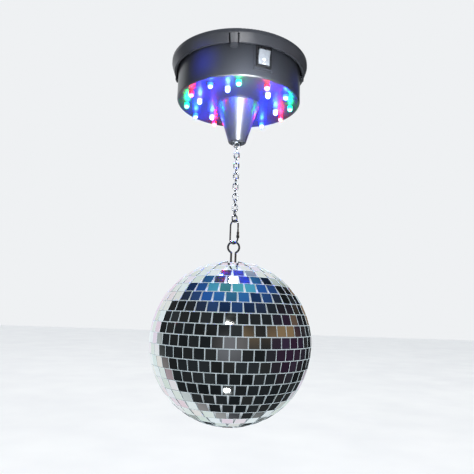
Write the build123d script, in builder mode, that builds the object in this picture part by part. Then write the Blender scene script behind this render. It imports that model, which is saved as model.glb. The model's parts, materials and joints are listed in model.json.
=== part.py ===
from build123d import *
from math import acos, atan, cos, degrees, floor, pi, radians, sin, sqrt
import os

# Battery mirror ball: ceiling plate, lit motor housing, chain and a tiled ball.
# The origin is the centre of the ceiling plate's top face, +Z points up into the
# ceiling, and the front, where the switch is, faces -Y. Sizes are in millimetres.
os.makedirs("parts", exist_ok=True)

# ceiling plate
plate_r = 68.0
plate_top_t = 2.5
plate_rim_h = 4.0
plate_wall = 2.0
skirt_r = 65.3
skirt_bottom = -12.0
tab_width = 6.5
tab_bottom = -15.3
tab_azimuth = -94.5
tab_slot = 1.4
tab_slot_h = 7.5
tab_grip = 0.5
key_azimuth = 43.5
catch_h = 1.2
ceiling_hole_r = 2.25
ceiling_pcd_r = 52.0

# housing
shell_r = 61.3
shell_wall = 2.2
shell_top = -3.0
shell_bottom = -41.7
floor_t = 2.5
floor_top = shell_bottom + floor_t
corner_r = 1.8
lug_r = 62.9
lug_h = 1.6
lug_bottom = tab_bottom + catch_h + 0.3

# cone cover over the drive shaft
cone_base_r = 21.0
cone_tip_r = 8.7
cone_collar_bottom = -43.5
cone_bottom = -82.2
cone_wall = 1.8
cone_flange_r = 26.0
cone_flange_t = 2.0
cone_screw_r = 23.6
screw_r = 1.1
cone_mid = (15.2, -60.5)
cone_mid_inner = (13.3, -60.5)
cone_lip = 0.8
bush_r = 5.0
bush_bottom = -80.1
bush_top = -75.2

# rocker switch
switch_azimuth = -69.7
switch_z = -22.6
bezel_w = 15.0
bezel_h = 19.6
bezel_t = 1.5
pad_w = 18.0
pad_h = 22.8
pad_dist = 61.9
switch_body_w = 12.8
switch_body_h = 16.6
switch_depth = 14.0
rocker_w = 10.6
rocker_h = 14.0
rocker_tilt = 8.0
rocker_pivot = pad_dist - 1.2

# lamps
lamp_r = 2.5
lamp_flange_r = 2.9
lamp_flange_t = 1.0
lamp_length = 7.6
outer_lamp_ring = 52.0
inner_lamp_ring = 39.5
board_inner_r = 33.4
board_outer_r = 57.4
board_bottom = -36.0
board_t = 1.6
board_top = board_bottom + board_t

# gearbox and motor
box_r = 33.8
box_wall = 1.5
box_base_bottom = -33.0
box_base_t = 1.5
box_lid_bottom = -21.0
box_lid_t = 1.5
box_lid_top = box_lid_bottom + box_lid_t
box_post_r = 30.6
module = 0.5
wheel_teeth = 40
pinion_teeth = 10
wheel_t = 1.6
centre_gap = module * (wheel_teeth + pinion_teeth) / 2
second_dir = 250.0
first_dir = 145.0
motor_dir = 200.0
level_a = -30.6
level_b = -28.0
level_c = -25.4
axle_r = 0.75
motor_r = 12.2
motor_h = 12.4
motor_shaft_r = 1.0

# output shaft and hook eye
shaft_r = 2.5
journal_r = 1.5
shaft_bottom = -80.3
shaft_socket = 6.0
eye_z = -84.2
eye_wire = 1.3
eye_outer = 7.6
eye_stem_r = 1.0

# battery tray, three AA cells side by side
cell_r = 7.1
cell_length = 49.0
cell_pitch = 14.5
cell_count = 3
tray_half_x = 28.5
tray_front_y = 4.5
tray_wall = 1.3
tray_bottom = -19.0
tray_h = 11.0
tray_back_y = tray_front_y + cell_count * cell_pitch + 2 * tray_wall

# chain, snap link and wire eye
link_count = 14
link_wire = 1.4
link_width = 6.0
link_play = 0.05
chain_twist = 16.0
snap_top = -160.0
snap_bottom = -183.0
snap_wire = 1.6
snap_width = 12.0
snap_turn = -45.0
gate_pin_z = -176.2
gate_top = -168.4
gate_gap = 0.35
pin_r = 0.45
sleeve_r = 1.25
sleeve_low = 1.75
sleeve_high = 4.35
fork_r = 1.5
fork_low = 1.5
fork_high = 1.0
ring_wire = 2.0
ring_outer = 12.8
leg_gap = 4.2
leg_bend = 1.2
leg_bottom = -208.0

# ball
ball_z = -275.0
ball_r = 75.0
tile_size = 9.3
tile_clear = 0.08
row_clear = 0.04
tile_t = 1.3
row_pitch = 7.334
row_offset = -1.16
core_wall = 2.0
plug_r = 11.0
plug_body_r = 8.0
plug_bottom = -213.0

tile_face = sqrt(ball_r**2 - (tile_size**2) / 2)
core_r = tile_face - tile_t


def save(piece, name):
    piece.part.label = name
    export_step(piece.part, f"parts/{name}.step")


def polar(radius, azimuth, height=0.0):
    return Vector(radius * cos(radians(azimuth)), radius * sin(radians(azimuth)), height)


def facing(azimuth, distance, height):
    """A plane that stands upright at an azimuth and faces outward, x level and y up."""
    side = polar(1.0, azimuth + 90.0)
    return Plane(origin=polar(distance, azimuth, height), x_dir=side, z_dir=polar(1.0, azimuth))


def link_plane(azimuth, height):
    """An upright plane through the chain's axis: x along the azimuth, y up."""
    along = polar(1.0, azimuth)
    return Plane(origin=(0, 0, height), x_dir=along, z_dir=along.cross(Vector(0, 0, 1)))


# ---------------------------------------------------------------- ceiling plate
tab_azimuths = [tab_azimuth + 90.0 * k for k in range(4)]
tab_span = degrees(tab_width / skirt_r)
slot_span = degrees(tab_slot / skirt_r)

with BuildPart() as ceiling_plate:
    with BuildSketch(Plane.XZ):
        with BuildLine():
            Polyline(
                (0, 0),
                (plate_r, 0),
                (plate_r, -plate_rim_h),
                (skirt_r, skirt_bottom),
                (skirt_r - plate_wall, skirt_bottom),
                (plate_r - plate_wall - 1.2, -plate_rim_h),
                (plate_r - plate_wall - 1.2, -plate_top_t),
                (0, -plate_top_t),
                close=True,
            )
        make_face()
    revolve(axis=Axis.Z)
    rim = ceiling_plate.edges().filter_by(GeomType.CIRCLE).group_by(Axis.Z)[-1]
    fillet(rim, 1.2)
    with Locations(*[facing(a + s * (tab_span + slot_span) / 2, skirt_r, skirt_bottom)
                     for a in tab_azimuths for s in (-1, 1)]):
        Box(tab_slot, 2 * tab_slot_h, 9.0, mode=Mode.SUBTRACT)
    with Locations(*[facing(a, skirt_r - plate_wall / 2 - 0.2, (skirt_bottom + tab_bottom) / 2)
                     for a in tab_azimuths]):
        Box(tab_width, skirt_bottom - tab_bottom + 2 * tab_grip, plate_wall - 0.4)
    with Locations(*[facing(a, (shell_r + 0.3 + skirt_r - 1.0) / 2, tab_bottom + catch_h / 2)
                     for a in tab_azimuths]):
        Box(tab_width, catch_h, skirt_r - 1.0 - shell_r - 0.3)
    with Locations(*[facing(a + key_azimuth * s, skirt_r - plate_wall - 0.2, skirt_bottom + 1.0)
                     for a in tab_azimuths[:1] for s in (-1, 1)]):
        Box(1.6, 2.0, 1.4)
    with BuildSketch(Plane.XY):
        with PolarLocations(ceiling_pcd_r, 4, start_angle=tab_azimuth + 45.0):
            Circle(ceiling_hole_r)
    extrude(amount=-plate_top_t, mode=Mode.SUBTRACT)
save(ceiling_plate, "ceiling_plate")

# ---------------------------------------------------------------- housing shell
outer_lamps = [(outer_lamp_ring, 30.0 * k) for k in range(12)]
inner_lamps = [(inner_lamp_ring, 15.0 + 60.0 * k) for k in range(6)]
board_posts = [(45.8, 45.0 + 120.0 * k) for k in range(3)]

with BuildPart() as housing_shell:
    with BuildSketch(Plane.XZ):
        with BuildLine():
            Polyline((0, shell_bottom), (shell_r, shell_bottom), (shell_r, shell_top),
                     (shell_r - shell_wall, shell_top), (shell_r - shell_wall, floor_top),
                     (0, floor_top), close=True)
        make_face()
    revolve(axis=Axis.Z)
    fillet(housing_shell.edges().filter_by(GeomType.CIRCLE).group_by(Axis.Z)[0], corner_r)
    with BuildSketch(facing(switch_azimuth, shell_r - shell_wall - 0.4, switch_z - 1.0)):
        Rectangle(pad_w, pad_h)
    extrude(amount=pad_dist - shell_r + shell_wall + 0.4)
    with BuildSketch(facing(switch_azimuth, shell_r - 4.0, switch_z)):
        Rectangle(switch_body_w + 0.2, switch_body_h + 0.2)
    extrude(amount=6.0, mode=Mode.SUBTRACT)
    with BuildSketch(Plane.XY.offset(shell_bottom)):
        Circle(cone_base_r + 0.1)
        with Locations(*[polar(r, a) for r, a in outer_lamps + inner_lamps]):
            Circle(lamp_r + 0.1)
    extrude(amount=floor_t, mode=Mode.SUBTRACT)
    with BuildSketch(Plane.XY.offset(floor_top)):
        with PolarLocations(box_post_r, 4, start_angle=45.0):
            Circle(1.9)
    extrude(amount=box_base_bottom - floor_top)
    with BuildSketch(Plane.XY.offset(floor_top)):
        with Locations(*[polar(r, a) for r, a in board_posts]):
            Circle(1.9)
    extrude(amount=board_bottom - floor_top)
    with Locations(*[facing(a, 56.6, tray_bottom - 1.25) for a in (60.0, 120.0)]):
        Box(8.0, 2.5, 6.0)
    with Locations(*[facing(a, (shell_r + lug_r) / 2 - 0.3, lug_bottom + lug_h / 2)
                     for a in tab_azimuths]):
        Box(tab_width - 1.0, lug_h, lug_r - shell_r + 0.6)
save(housing_shell, "housing_shell")

# ---------------------------------------------------------------- cone cover
with BuildPart() as cone_cover:
    with BuildSketch(Plane.XZ):
        with BuildLine():
            rim_out = Line((cone_flange_r, floor_top), (cone_flange_r, floor_top + cone_flange_t))
            rim_top = Line(rim_out @ 1, (cone_base_r - cone_wall, floor_top + cone_flange_t))
            collar_in = Line(rim_top @ 1, (cone_base_r - cone_wall, cone_collar_bottom))
            inside = ThreePointArc(collar_in @ 1, cone_mid_inner, (bush_r + cone_lip, bush_top + cone_lip))
            shelf = Line(inside @ 1, (bush_r, bush_top))
            bore = Line(shelf @ 1, (bush_r, cone_bottom))
            tip = Line(bore @ 1, (cone_tip_r - cone_lip, cone_bottom))
            tip_edge = Line(tip @ 1, (cone_tip_r, cone_bottom + cone_lip))
            outside = ThreePointArc(tip_edge @ 1, cone_mid, (cone_base_r, cone_collar_bottom))
            collar_out = Line(outside @ 1, (cone_base_r, floor_top))
            Line(collar_out @ 1, rim_out @ 0)
        make_face()
    revolve(axis=Axis.Z)
    with BuildSketch(Plane.XY.offset(floor_top)):
        with PolarLocations(cone_screw_r, 3, start_angle=30.0):
            Circle(screw_r + 0.05)
    extrude(amount=cone_flange_t, mode=Mode.SUBTRACT)
save(cone_cover, "cone_cover")


def screw_group(points, seat, length, head_r, head_h, name):
    """Pan-head screws pointing down, with a cross recess in each head."""
    with BuildPart() as screws:
        with BuildSketch(Plane.XY.offset(seat)):
            with Locations(*points):
                Circle(screw_r)
        extrude(amount=-length)
        with BuildSketch(Plane.XY.offset(seat)):
            with Locations(*points):
                Circle(head_r)
        extrude(amount=head_h)
        with BuildSketch(Plane.XY.offset(seat + head_h)):
            with Locations(*points):
                Rectangle(head_r * 1.2, head_r * 0.25)
                Rectangle(head_r * 0.25, head_r * 1.2)
        extrude(amount=-head_h * 0.5, mode=Mode.SUBTRACT)
    save(screws, name)


cone_screw_points = [polar(cone_screw_r, 30.0 + 120.0 * k) for k in range(3)]
screw_group(cone_screw_points, floor_top + cone_flange_t, cone_flange_t, 2.0, 1.2, "cone_screws")

with BuildPart() as shaft_bush:
    with BuildSketch(Plane.XY.offset(bush_bottom)):
        Circle(bush_r)
        Circle(shaft_r + 0.06, mode=Mode.SUBTRACT)
    extrude(amount=bush_top - bush_bottom)
save(shaft_bush, "shaft_bush")


# ---------------------------------------------------------------- gearbox
def gear_face(teeth):
    """A spur gear outline: each tooth narrows from its root to its tip."""
    pitch_r = module * teeth / 2
    root_r = pitch_r - 1.1 * module
    tip_r = pitch_r + 0.8 * module
    pitch_half = 0.40 * pi * module / 2
    root_half = pitch_half + 0.30 * module
    tip_half = pitch_half - 0.32 * module
    Circle(root_r)
    with PolarLocations(0, teeth):
        Polygon((root_r * 0.96, -root_half), (pitch_r, -pitch_half), (tip_r, -tip_half),
                (tip_r, tip_half), (pitch_r, pitch_half), (root_r * 0.96, root_half), align=None)


def mesh_turn(direction, fixed_turn, fixed_teeth, teeth):
    """The turn that puts a tooth gap of this gear on its neighbour's tooth."""
    pitch_fixed = 360.0 / fixed_teeth
    pitch_here = 360.0 / teeth
    offset = (direction - fixed_turn) / pitch_fixed
    return direction + 180.0 + (offset + 0.5) * pitch_here


second_axis = polar(centre_gap, second_dir)
first_axis = second_axis + polar(centre_gap, first_dir)
motor_axis = first_axis + polar(centre_gap, motor_dir)
second_turn = mesh_turn(second_dir, 0.0, wheel_teeth, pinion_teeth)
first_turn = mesh_turn(first_dir, second_turn, wheel_teeth, pinion_teeth)
motor_turn = mesh_turn(motor_dir, first_turn, wheel_teeth, pinion_teeth)
axle_points = [second_axis, first_axis]
box_screw_points = [polar(box_post_r, 45.0 + 90.0 * k) for k in range(4)]

with BuildPart() as gearbox_base:
    with BuildSketch(Plane.XY.offset(box_base_bottom)):
        Circle(box_r)
    extrude(amount=box_base_t)
    with BuildSketch(Plane.XY.offset(box_base_bottom + box_base_t)):
        Circle(box_r)
        Circle(box_r - box_wall, mode=Mode.SUBTRACT)
    extrude(amount=box_lid_bottom - box_base_bottom - box_base_t)
    with BuildSketch(Plane.XY.offset(box_base_bottom)):
        with Locations(*box_screw_points):
            Circle(2.2)
    extrude(amount=box_lid_bottom - box_base_bottom)
    with BuildSketch(Plane.XY.offset(box_base_bottom)):
        Circle(shaft_r + 0.06)
        with Locations(*box_screw_points):
            Circle(1.1)
        with Locations(*axle_points):
            Circle(axle_r)
    extrude(amount=20.0, mode=Mode.SUBTRACT)
save(gearbox_base, "gearbox_base")

with BuildPart() as gearbox_lid:
    with BuildSketch(Plane.XY.offset(box_lid_bottom)):
        Circle(box_r)
        Circle(journal_r + 0.06, mode=Mode.SUBTRACT)
        with Locations(motor_axis):
            Circle(3.2, mode=Mode.SUBTRACT)
        with Locations(*box_screw_points):
            Circle(1.1, mode=Mode.SUBTRACT)
        with Locations(*axle_points):
            Circle(axle_r, mode=Mode.SUBTRACT)
    extrude(amount=box_lid_t)
save(gearbox_lid, "gearbox_lid")

screw_group(box_screw_points, box_lid_top, box_lid_top - box_base_bottom, 2.0, 0.45, "gearbox_screws")

with BuildPart() as gear_axles:
    with BuildSketch(Plane.XY.offset(box_base_bottom)):
        with Locations(*axle_points):
            Circle(axle_r)
    extrude(amount=box_lid_top - box_base_bottom)
save(gear_axles, "gear_axles")


def compound_gear(axis, wheel_turn, wheel_z, pinion_z, name):
    """A wheel with a pinion below it, moulded as one and running on an axle."""
    with BuildPart() as gear:
        with BuildSketch(Plane(origin=(axis.X, axis.Y, wheel_z)).rotated((0, 0, wheel_turn))):
            gear_face(wheel_teeth)
            Circle(axle_r + 0.05, mode=Mode.SUBTRACT)
            with PolarLocations(6.2, 5):
                Circle(1.7, mode=Mode.SUBTRACT)
        extrude(amount=wheel_t)
        with BuildSketch(Plane(origin=(axis.X, axis.Y, pinion_z)).rotated((0, 0, wheel_turn))):
            gear_face(pinion_teeth)
            Circle(axle_r + 0.05, mode=Mode.SUBTRACT)
        extrude(amount=wheel_z - pinion_z)
    save(gear, name)


compound_gear(second_axis, second_turn, level_b, level_a, "second_gear")
compound_gear(first_axis, first_turn, level_c, level_b, "first_gear")

with BuildPart() as output_gear:
    with BuildSketch(Plane.XY.offset(level_a)):
        gear_face(wheel_teeth)
        Circle(journal_r, mode=Mode.SUBTRACT)
        with PolarLocations(6.2, 5):
            Circle(1.7, mode=Mode.SUBTRACT)
    extrude(amount=wheel_t)
save(output_gear, "output_gear")

with BuildPart() as motor_pinion:
    with BuildSketch(Plane(origin=(motor_axis.X, motor_axis.Y, level_c)).rotated((0, 0, motor_turn))):
        gear_face(pinion_teeth)
        Circle(motor_shaft_r, mode=Mode.SUBTRACT)
    extrude(amount=wheel_t + 0.8)
save(motor_pinion, "motor_pinion")

# ---------------------------------------------------------------- motor
motor_plane = Plane(origin=(motor_axis.X, motor_axis.Y, box_lid_top))
motor_flat = 19.6
cap_t = 1.6

with BuildPart() as motor_can:
    with BuildSketch(motor_plane):
        Circle(motor_r)
        Rectangle(2 * motor_r, motor_flat, mode=Mode.INTERSECT)
    extrude(amount=motor_h - cap_t)
    with BuildSketch(motor_plane):
        Circle(motor_shaft_r + 0.06)
    extrude(amount=motor_h - cap_t, mode=Mode.SUBTRACT)
    with BuildSketch(motor_plane):
        Circle(3.0)
        Circle(motor_shaft_r + 0.06, mode=Mode.SUBTRACT)
    extrude(amount=-1.0)
save(motor_can, "motor_can")

with BuildPart() as motor_cap:
    with BuildSketch(motor_plane.offset(motor_h - cap_t)):
        Circle(motor_r - 0.6)
        Rectangle(2 * motor_r, motor_flat - 1.2, mode=Mode.INTERSECT)
        Circle(motor_shaft_r + 0.06, mode=Mode.SUBTRACT)
    extrude(amount=cap_t)
save(motor_cap, "motor_cap")

with BuildPart() as motor_shaft:
    with BuildSketch(Plane(origin=(motor_axis.X, motor_axis.Y, level_c - 0.6))):
        Circle(motor_shaft_r)
    extrude(amount=box_lid_top + motor_h - level_c)
save(motor_shaft, "motor_shaft")

# ---------------------------------------------------------------- output shaft and hook eye
with BuildPart() as output_shaft:
    with BuildSketch(Plane.XY.offset(shaft_bottom)):
        Circle(shaft_r)
    extrude(amount=level_a - shaft_bottom)
    with BuildSketch(Plane.XY.offset(level_a)):
        Circle(journal_r)
    extrude(amount=box_lid_top - level_a)
    with BuildSketch(Plane.XY.offset(shaft_bottom)):
        Circle(eye_stem_r)
    extrude(amount=shaft_socket, mode=Mode.SUBTRACT)
save(output_shaft, "output_shaft")

eye_centre_r = (eye_outer - eye_wire) / 2
with BuildPart() as hook_eye:
    with BuildSketch(Plane(origin=(eye_centre_r, 0, eye_z), z_dir=(0, 0, 1))):
        Circle(eye_wire / 2)
    revolve(axis=Axis((0, 0, eye_z), (0, 1, 0)))
    with BuildSketch(Plane.XY.offset(eye_z + eye_centre_r)):
        Circle(eye_stem_r)
    extrude(amount=shaft_bottom + shaft_socket - eye_z - eye_centre_r)
save(hook_eye, "hook_eye")

# ---------------------------------------------------------------- battery tray and cells
cell_ys = [tray_front_y + tray_wall + cell_pitch * (k + 0.5) for k in range(cell_count)]
cell_z = tray_bottom + tray_wall + cell_r + 0.1
tray_mid_y = (tray_front_y + tray_back_y) / 2
contact_t = 0.5

with BuildPart() as battery_tray:
    with BuildSketch(Plane(origin=(0, tray_mid_y, tray_bottom))):
        Rectangle(2 * tray_half_x, tray_back_y - tray_front_y)
    extrude(amount=tray_h)
    with BuildSketch(Plane(origin=(0, tray_mid_y, tray_bottom + tray_wall))):
        Rectangle(2 * (tray_half_x - tray_wall), tray_back_y - tray_front_y - 2 * tray_wall)
    extrude(amount=tray_h, mode=Mode.SUBTRACT)
    with Locations(*[(x, tray_front_y + 3.0, tray_bottom - 0.25) for x in (-14.0, 14.0)]):
        Box(6.0, 5.0, 0.5)
    chamfer(battery_tray.edges().filter_by(Axis.Z).group_by(Axis.Y)[-1], 1.5)
save(battery_tray, "battery_tray")

with BuildPart() as battery_cells:
    for k, y in enumerate(cell_ys):
        nose = 1 if k % 2 == 0 else -1
        with BuildSketch(Plane(origin=(-nose * cell_length / 2, y, cell_z), z_dir=(nose, 0, 0))):
            Circle(cell_r)
        extrude(amount=cell_length)
        with BuildSketch(Plane(origin=(nose * cell_length / 2, y, cell_z), z_dir=(nose, 0, 0))):
            Circle(2.7)
        extrude(amount=1.2)
save(battery_cells, "battery_cells")

with BuildPart() as cell_contacts:
    for side in (-1, 1):
        x = side * (tray_half_x - tray_wall - contact_t / 2)
        with Locations(*[(x, y, cell_z) for y in cell_ys]):
            Box(contact_t, 9.0, 9.0)
save(cell_contacts, "cell_contacts")

# ---------------------------------------------------------------- lamp board and lamps
lamp_points = [polar(r, a) for r, a in outer_lamps + inner_lamps]
leg_points = [polar(r, a) + polar(s * 1.27, a + 90.0) for r, a in outer_lamps + inner_lamps
              for s in (-1, 1)]

with BuildPart() as lamp_board:
    with BuildSketch(Plane.XY.offset(board_bottom)):
        Circle(board_outer_r)
        Circle(board_inner_r, mode=Mode.SUBTRACT)
        with Locations(*leg_points):
            Circle(0.4, mode=Mode.SUBTRACT)
        with Locations(*[polar(r, a) for r, a in board_posts]):
            Circle(1.1, mode=Mode.SUBTRACT)
    extrude(amount=board_t)
save(lamp_board, "lamp_board")

screw_group([polar(r, a) for r, a in board_posts], board_top, board_t, 1.9, 1.1, "board_screws")

with BuildPart() as lamp_legs:
    with BuildSketch(Plane.XY.offset(floor_top + lamp_flange_t)):
        with Locations(*leg_points):
            Circle(0.25)
    extrude(amount=board_top + 0.7 - floor_top - lamp_flange_t)
save(lamp_legs, "lamp_legs")


def lamp_group(points, name):
    """Domed 5 mm lamps, seated from inside with the flange on the housing floor."""
    with BuildPart() as lamps:
        with BuildSketch(Plane.XY.offset(floor_top)):
            with Locations(*points):
                Circle(lamp_flange_r)
        extrude(amount=lamp_flange_t)
        with BuildSketch(Plane.XY.offset(floor_top)):
            with Locations(*points):
                Circle(lamp_r)
        extrude(amount=lamp_r - lamp_length)
        with Locations(*[p + Vector(0, 0, floor_top + lamp_r - lamp_length) for p in points]):
            Sphere(lamp_r)
    save(lamps, name)


for shift, colour in enumerate(("green", "red", "blue")):
    lamp_group([polar(r, a) for r, a in outer_lamps[shift::3]], f"{colour}_lamps")
lamp_group([polar(r, a) for r, a in inner_lamps], "white_lamps")

# ---------------------------------------------------------------- rocker switch
switch_face = facing(switch_azimuth, pad_dist, switch_z)
rocker_axis = polar(rocker_pivot, switch_azimuth, switch_z)
well_depth = 5.0

with BuildPart() as switch_body:
    with BuildSketch(switch_face):
        RectangleRounded(bezel_w, bezel_h, 0.9)
    extrude(amount=bezel_t)
    with BuildSketch(switch_face):
        Rectangle(switch_body_w, switch_body_h)
    extrude(amount=-switch_depth)
    with BuildSketch(switch_face.offset(bezel_t)):
        Rectangle(rocker_w + 0.6, rocker_h + 0.9)
    extrude(amount=-well_depth - bezel_t, mode=Mode.SUBTRACT)
    with BuildSketch(Plane(origin=rocker_axis - switch_face.x_dir * 10, z_dir=switch_face.x_dir)):
        Circle(0.75)
    extrude(amount=20.0, mode=Mode.SUBTRACT)
save(switch_body, "switch_body")

rocker_out = polar(cos(radians(rocker_tilt)), switch_azimuth, -sin(radians(rocker_tilt)))
rocker_plane = Plane(origin=rocker_axis - switch_face.x_dir * rocker_w / 2, x_dir=rocker_out,
                     z_dir=switch_face.x_dir)

with BuildPart() as switch_rocker:
    with BuildSketch(rocker_plane):
        with BuildLine():
            Polyline((-2.6, -4.2), (2.4, -rocker_h / 2 + 0.25), (3.9, -rocker_h / 2 + 0.35), (2.6, 0),
                     (3.9, rocker_h / 2 - 0.35), (2.4, rocker_h / 2 - 0.25), (-2.6, 4.2), close=True)
        make_face()
    extrude(amount=rocker_w)
    with BuildSketch(rocker_plane.offset(-0.9)):
        Circle(0.68)
    extrude(amount=rocker_w + 1.8)
save(switch_rocker, "switch_rocker")

with BuildPart() as switch_terminals:
    with BuildSketch(switch_face.offset(-switch_depth)):
        with Locations((0, -4.5), (0, 4.5)):
            Rectangle(4.8, 0.8)
    extrude(amount=-6.5)
save(switch_terminals, "switch_terminals")

# ---------------------------------------------------------------- wiring
wire_r = 0.6


def add_wire(points, radii):
    """One insulated wire: straight runs joined by tangent bends."""
    with BuildLine() as route:
        FilletPolyline(*points, radius=radii)
    path = route.wires()[0]
    with BuildSketch(Plane(origin=path @ 0, z_dir=path % 0)) as section:
        Circle(wire_r)
    sweep(section.sketch, path=path)


terminal_tip = pad_dist - switch_depth - 6.5
upper_blade = polar(terminal_tip - wire_r, switch_azimuth, switch_z + 4.5)
lower_blade = polar(terminal_tip - wire_r, switch_azimuth, switch_z - 4.5)

with BuildPart() as battery_wires:
    add_wire([(31.0, 10.0, -12.0), (38.0, -2.0, -13.0), (36.0, -20.0, -15.0), (25.0, -31.0, -17.0),
              tuple(upper_blade)], [5.0, 6.0, 5.0])
    add_wire([(-31.0, 12.0, -13.0), (-42.0, 2.0, -15.0), (-47.0, -6.0, -23.0), (-46.0, -8.0, -33.6)],
             [5.0, 5.0])
save(battery_wires, "battery_wires")

with BuildPart() as motor_wires:
    add_wire([(-31.0, -12.0, -6.2), (-40.5, -15.0, -6.2), (-43.5, -18.0, -20.0), (-42.0, -20.0, -33.6)],
             [3.0, 4.0])
    add_wire([tuple(lower_blade), (4.0, -40.0, -27.0), (-9.0, -43.0, -28.5), (-15.0, -42.5, -33.6)],
             [5.0, 3.0])
save(motor_wires, "motor_wires")


# ---------------------------------------------------------------- chain
def add_loop(plane, centre_length, centre_width, wire):
    """A closed oval of round wire, long way up the plane's y."""
    half_w = centre_width / 2
    half_l = centre_length / 2 - half_w
    with BuildLine(plane) as loop:
        side = Line((half_w, -half_l), (half_w, half_l))
        over = ThreePointArc(side @ 1, (0, half_l + half_w), (-half_w, half_l))
        back = Line(over @ 1, (-half_w, -half_l))
        ThreePointArc(back @ 1, (0, -half_l - half_w), side @ 0)
    path = loop.wires()[0]
    with BuildSketch(Plane(origin=path @ 0, z_dir=path % 0)) as section:
        Circle(wire / 2)
    sweep(section.sketch, path=path)


eye_low = eye_z - eye_centre_r
link_overlap = link_wire + link_play
first_link_top = eye_low + (eye_wire + link_wire) / 2 + link_play
last_link_low = snap_top - (link_wire + snap_wire) / 2 - 3 * link_play
chain_drop = first_link_top - last_link_low
link_centre_length = (chain_drop + (link_count - 1) * link_overlap) / link_count
link_pitch = link_centre_length - link_overlap

for number in range(1, link_count + 1):
    link_turn = 90.0 * (number % 2) + chain_twist * number / link_count
    link_z = first_link_top - link_centre_length / 2 - link_pitch * (number - 1)
    with BuildPart() as chain_link:
        add_loop(link_plane(link_turn, link_z), link_centre_length, link_width - link_wire, link_wire)
    save(chain_link, f"chain_link_{number:02d}")

# ---------------------------------------------------------------- snap link
snap_mid = (snap_top + snap_bottom) / 2
snap_half = (snap_width - snap_wire) / 2
snap_plane = link_plane(snap_turn, snap_mid)
snap_arc = (snap_top - snap_bottom) / 2 - snap_half
pin_y = gate_pin_z - snap_mid
gate_end = gate_top - snap_mid

with BuildPart() as snap_link:
    with BuildLine(snap_plane) as snap_path:
        hook = Line((snap_half, gate_end + gate_gap), (snap_half, snap_arc))
        over = ThreePointArc(hook @ 1, (0, snap_arc + snap_half), (-snap_half, snap_arc))
        back = Line(over @ 1, (-snap_half, -snap_arc))
        under = ThreePointArc(back @ 1, (0, -snap_arc - snap_half), (snap_half, -snap_arc))
        Line(under @ 1, (snap_half, pin_y - 1.2))
    snap_wire_path = snap_path.wires()[0]
    with BuildSketch(Plane(origin=snap_wire_path @ 0, z_dir=snap_wire_path % 0)):
        Circle(snap_wire / 2)
    sweep(path=snap_wire_path)
    with BuildSketch(Plane(origin=snap_plane.from_local_coords((snap_half, pin_y - fork_low)))):
        Circle(fork_r)
    extrude(amount=fork_low + fork_high)
    with BuildSketch(snap_plane.offset(-0.6)):
        with Locations((snap_half, pin_y + 0.4)):
            Rectangle(2 * fork_r + 1.0, 3.0)
    extrude(amount=1.2, mode=Mode.SUBTRACT)
    with BuildSketch(snap_plane.offset(-2.0)):
        with Locations((snap_half, pin_y)):
            Circle(pin_r)
    extrude(amount=4.0, mode=Mode.SUBTRACT)
save(snap_link, "snap_link")

with BuildPart() as snap_gate:
    with BuildSketch(snap_plane.offset(-0.5)):
        with Locations((snap_half, pin_y)):
            Circle(0.95)
        with Locations((snap_half, pin_y + 1.2)):
            Rectangle(1.7, 2.4)
        with Locations((snap_half, pin_y)):
            Circle(pin_r + 0.05, mode=Mode.SUBTRACT)
    extrude(amount=1.0)
    with BuildSketch(Plane(origin=snap_plane.from_local_coords((snap_half, pin_y + sleeve_low)))):
        Circle(sleeve_r)
    extrude(amount=sleeve_high - sleeve_low)
    with BuildSketch(Plane(origin=snap_plane.from_local_coords((snap_half, pin_y + sleeve_high)))):
        Circle(snap_wire / 2)
    extrude(amount=gate_end - pin_y - sleeve_high)
save(snap_gate, "snap_gate")

with BuildPart() as gate_pin:
    with BuildSketch(snap_plane.offset(-fork_r - 0.2)):
        with Locations((snap_half, pin_y)):
            Circle(pin_r)
    extrude(amount=2 * fork_r + 0.4)
save(gate_pin, "gate_pin")

# ---------------------------------------------------------------- wire eye
ring_r = (ring_outer - ring_wire) / 2
ring_z = snap_bottom + (snap_wire + ring_wire) / 2 + 0.1 - ring_r
leg_x = leg_gap / 2
bend_x = leg_x + leg_bend
bend_z = -sqrt((ring_r + leg_bend) ** 2 - bend_x**2)
join = ring_r / (ring_r + leg_bend)
swing = acos(bend_x / (ring_r + leg_bend))

with BuildPart() as wire_eye:
    with BuildLine(Plane.XZ) as eye_path:
        left_leg = Line((-leg_x, leg_bottom), (-leg_x, ring_z + bend_z))
        left_top = (-bend_x * join, ring_z + bend_z * join)
        left_mid = (-bend_x + leg_bend * cos(swing / 2), ring_z + bend_z + leg_bend * sin(swing / 2))
        left_bend = ThreePointArc(left_leg @ 1, left_mid, left_top)
        ring = ThreePointArc(left_bend @ 1, (0, ring_z + ring_r), (-left_top[0], left_top[1]))
        right_bend = ThreePointArc(ring @ 1, (-left_mid[0], left_mid[1]), (leg_x, ring_z + bend_z))
        Line(right_bend @ 1, (leg_x, leg_bottom))
    eye_wire_path = eye_path.wires()[0]
    with BuildSketch(Plane(origin=eye_wire_path @ 0, z_dir=eye_wire_path % 0)):
        Circle(ring_wire / 2)
    sweep(path=eye_wire_path)
save(wire_eye, "wire_eye")

# ---------------------------------------------------------------- ball plug and core
lip_top = ball_z + ball_r - 0.9
lip_t = 1.5
seat_top = lip_top - lip_t
seat_bottom = seat_top - 4.0

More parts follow.
